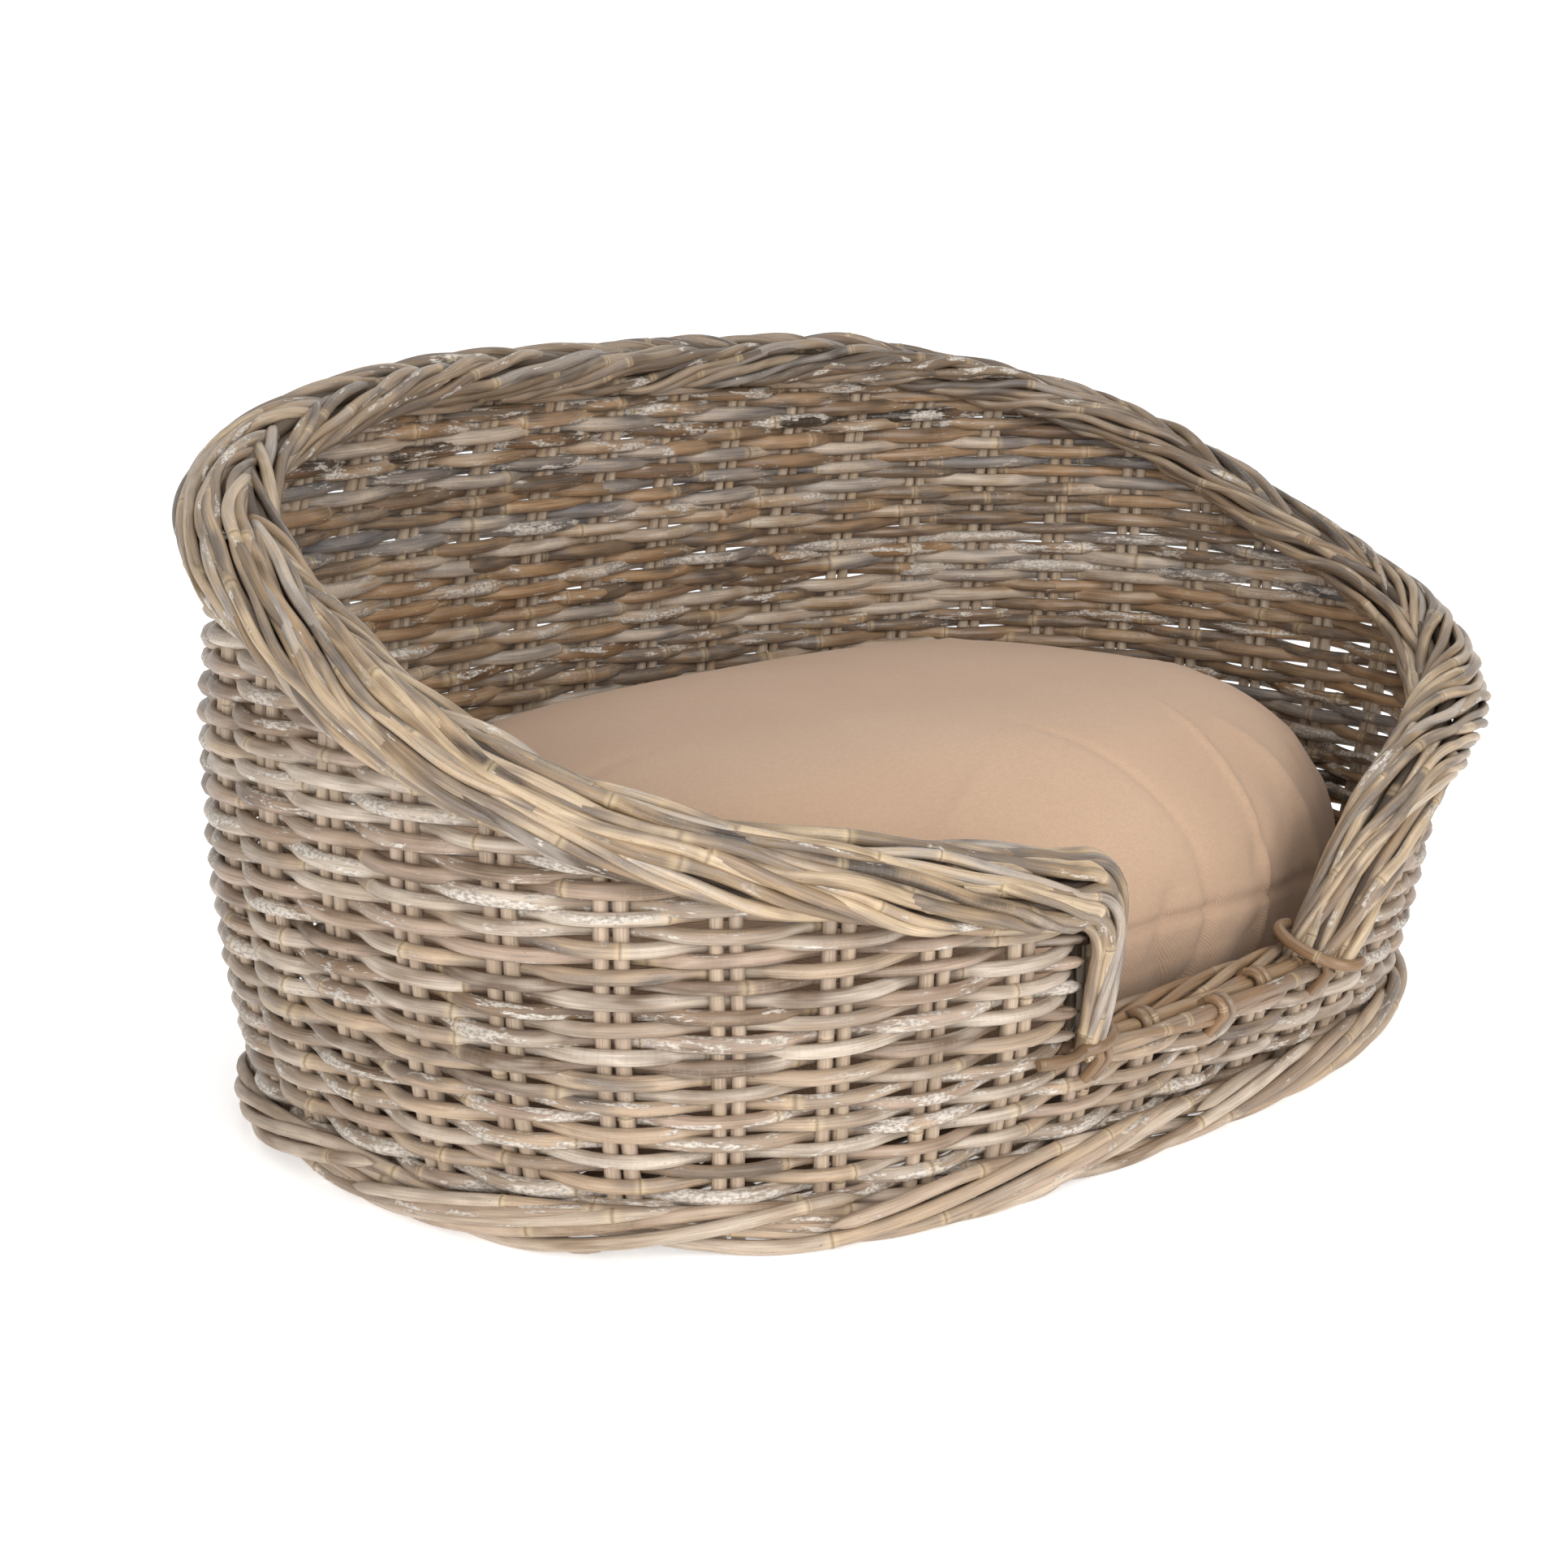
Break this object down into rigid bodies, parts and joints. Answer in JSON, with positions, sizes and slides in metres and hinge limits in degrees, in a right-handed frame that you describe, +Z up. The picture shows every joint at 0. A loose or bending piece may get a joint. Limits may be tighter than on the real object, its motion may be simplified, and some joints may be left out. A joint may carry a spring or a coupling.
{
  "type": "wicker pet bed basket",
  "caption": "Oval woven cane pet bed with a high back, sloping sides, a low front entrance, a thick plaited rim and a loose crowned cushion.",
  "frame": {"origin": "centre of the basket's box in X and Y, at the height of the floor it stands on", "axes": "+X along the long axis, to the right of someone facing the entrance; the entrance faces -Y, the high back is at +Y; +Z up"},
  "size_m": [0.8382, 0.5398, 0.4064],
  "materials": {
    "stake_cane": "natural cane with a soft gloss, brown to beige",
    "weaver_cane": "natural round cane, grey-brown outside and warmer brown inside, flaking in places",
    "rim_cane": "natural cane, pale straw to brown, soft gloss",
    "rim_inner_cane": "natural cane, brown, soft gloss",
    "foot_cane": "natural cane, brown",
    "base_cane": "natural cane, brown, matte",
    "sill_cane": "natural cane, darker brown, glossy",
    "cushion_cloth": "plain beige woven cloth, matte"
  },
  "bodies": {
    "basket": {"base_panel": "base_cane", "base_hoop": "base_cane", "base_stick_1": "base_cane", "base_stick_2": "base_cane", "base_stick_3": "base_cane", "foot_cane_1": "foot_cane", "foot_cane_2": "foot_cane", "foot_cane_3": "foot_cane", "lower_weave": "weaver_cane", "upper_weave": "weaver_cane", "stake_pair_01": "stake_cane", "stake_pair_02": "stake_cane", "stake_pair_03": "stake_cane", "stake_pair_04": "stake_cane", "stake_pair_05": "stake_cane", "stake_pair_06": "stake_cane", "stake_pair_07": "stake_cane", "stake_pair_08": "stake_cane", "stake_pair_09": "stake_cane", "stake_pair_10": "stake_cane", "stake_pair_11": "stake_cane", "stake_pair_12": "stake_cane", "stake_pair_13": "stake_cane", "stake_pair_14": "stake_cane", "stake_pair_15": "stake_cane", "stake_pair_16": "stake_cane", "stake_pair_17": "stake_cane", "stake_pair_18": "stake_cane", "stake_pair_19": "stake_cane", "stake_pair_20": "stake_cane", "stake_pair_21": "stake_cane", "stake_pair_22": "stake_cane", "stake_pair_23": "stake_cane", "stake_pair_24": "stake_cane", "stake_pair_25": "stake_cane", "stake_pair_26": "stake_cane", "stake_pair_27": "stake_cane", "stake_pair_28": "stake_cane", "stake_pair_29": "stake_cane", "stake_pair_30": "stake_cane", "stake_pair_31": "stake_cane", "stake_pair_32": "stake_cane", "stake_pair_33": "stake_cane", "stake_pair_34": "stake_cane", "stake_pair_35": "stake_cane", "stake_pair_36": "stake_cane", "stake_pair_37": "stake_cane", "stake_pair_38": "stake_cane", "stake_pair_39": "stake_cane", "stake_pair_40": "stake_cane", "rim_outer_plait": "rim_cane", "rim_inner_plait": "rim_inner_cane", "rim_tail_left": "rim_cane", "rim_tail_right": "rim_cane", "tie_loop_left": "sill_cane", "tie_loop_right": "sill_cane", "sill_cane_outer": "sill_cane", "sill_cane_inner": "sill_cane", "sill_plait": "sill_cane"},
    "cushion": {"cushion": "cushion_cloth"}
  },
  "joints": [
    {"name": "cushion_lift", "type": "slide", "parent": "basket", "child": "cushion", "axis": [0, 0, 1], "range_m": [0, 0.19]}
  ]
}
